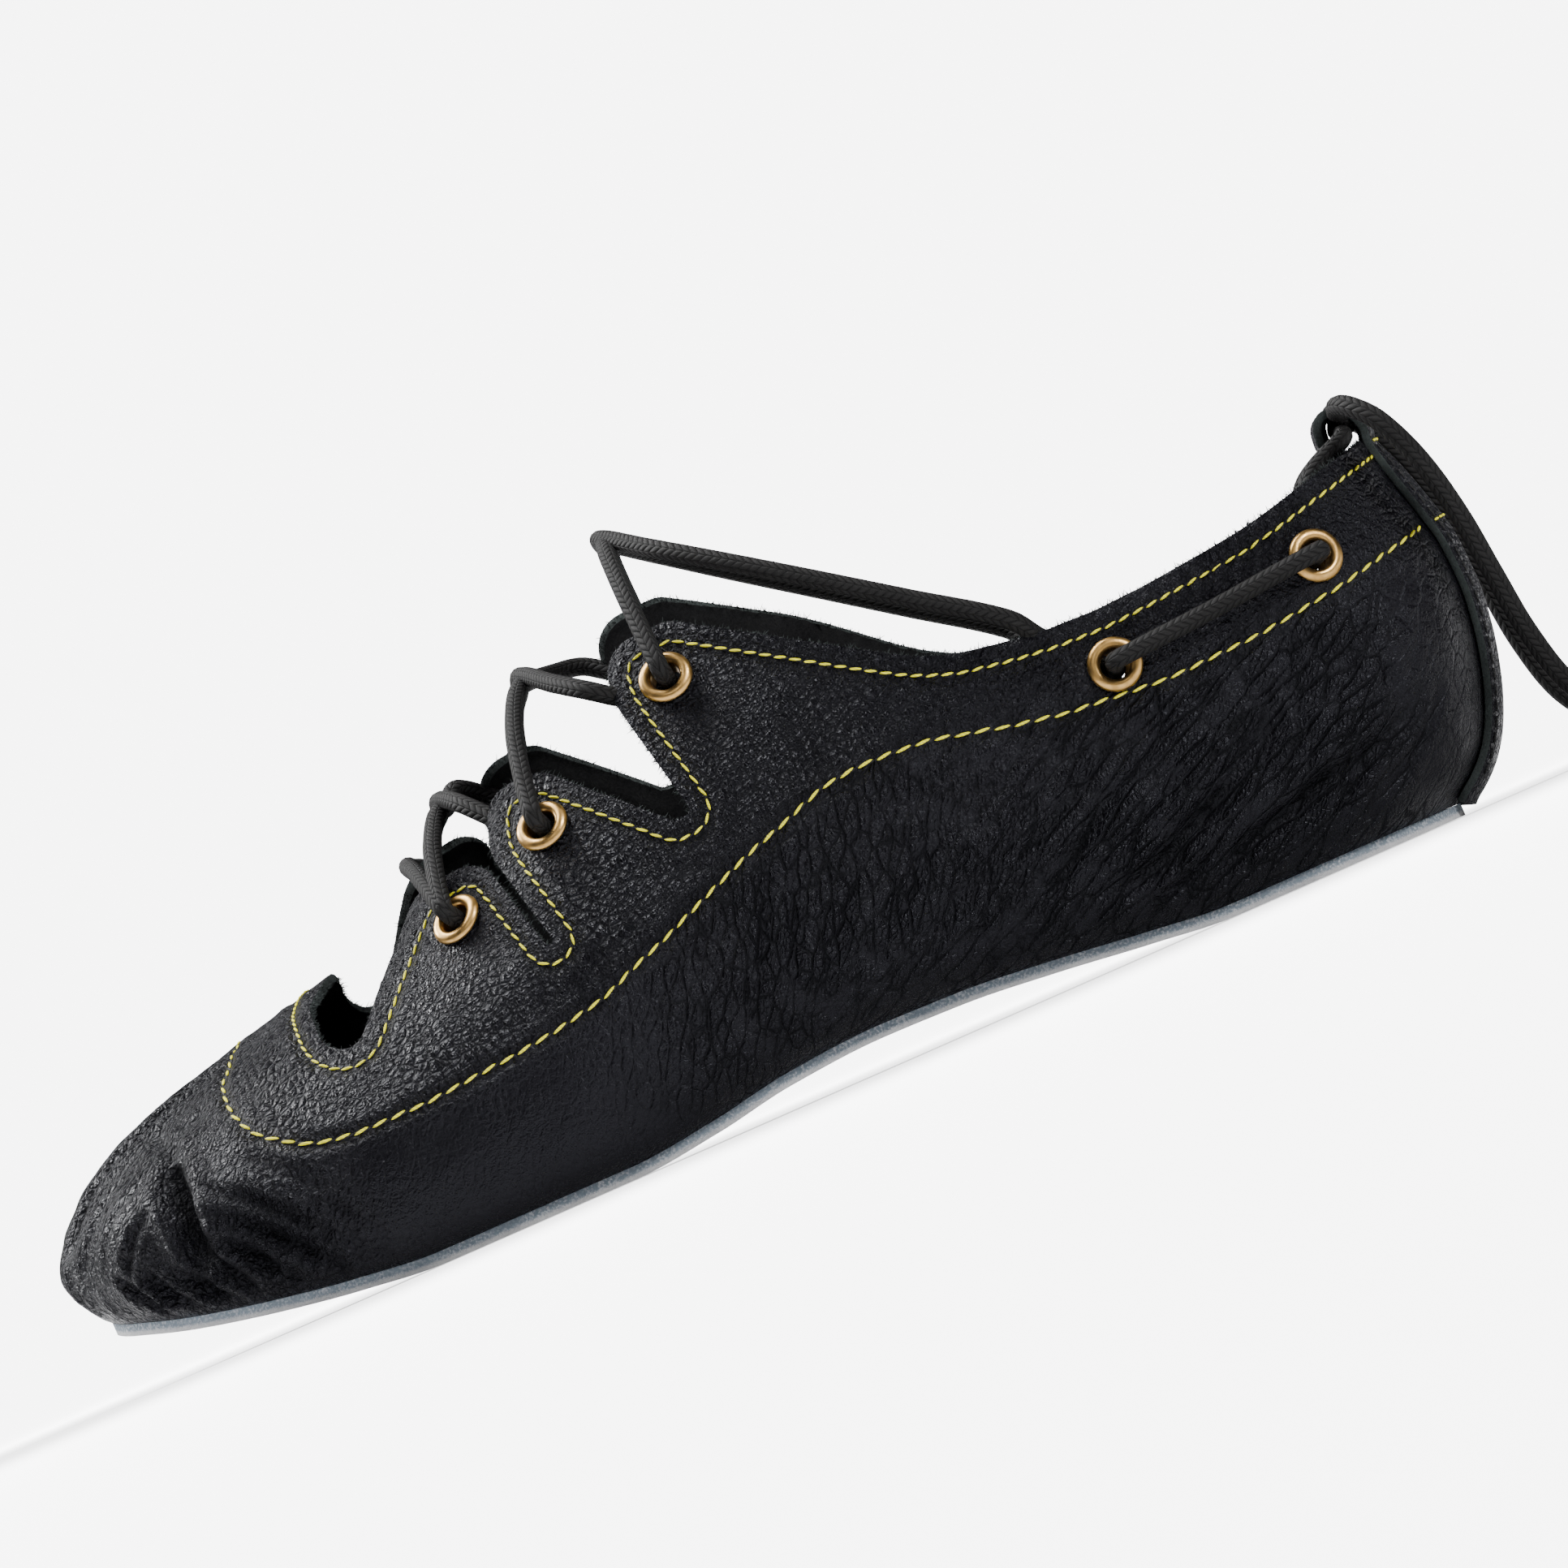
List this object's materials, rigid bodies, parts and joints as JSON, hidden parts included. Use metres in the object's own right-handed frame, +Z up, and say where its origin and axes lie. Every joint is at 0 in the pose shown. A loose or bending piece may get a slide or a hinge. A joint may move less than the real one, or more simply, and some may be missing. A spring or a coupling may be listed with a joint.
{
  "type": "highland dance shoe",
  "caption": "Soft black leather highland dance shoe with scalloped lacing tabs, brass eyelets, a back lace loop and a thin suede sole, standing empty with its lace ends laid down.",
  "frame": {"origin": "middle of the shoe's footprint box on the floor, without the laid-down lace ends", "axes": "+X from the toe to the heel, +Y from the outer side to the inner side, +Z up"},
  "size_m": [0.3656, 0.1271, 0.0994],
  "materials": {
    "leather": "soft pebbled black full grain, semi-matte",
    "strip_leather": "black, semi-matte, raw cut edges",
    "suede": "pale grey split suede, fuzzy",
    "insole": "dark suede",
    "brass": "matte",
    "lace": "round black braid",
    "aglet": "dark, smooth"
  },
  "bodies": {
    "root": {"upper": "leather", "outsole": "suede", "insole": "insole", "heel_strip": "strip_leather", "eyelet_1_near": "brass", "eyelet_1_far": "brass", "eyelet_2_near": "brass", "eyelet_2_far": "brass", "eyelet_3_near": "brass", "eyelet_3_far": "brass", "eyelet_4_near": "brass", "eyelet_4_far": "brass", "eyelet_5_near": "brass", "eyelet_5_far": "brass", "lace_crossing_1": "lace", "lace_crossing_2": "lace", "lace_crossing_3": "lace", "lace_run_near": "lace", "lace_run_far": "lace", "lace_riser_near": "lace", "lace_riser_far": "lace", "lace_end_near": "lace", "lace_end_far": "lace", "aglet_near": "aglet", "aglet_far": "aglet"}
  },
  "joints": []
}
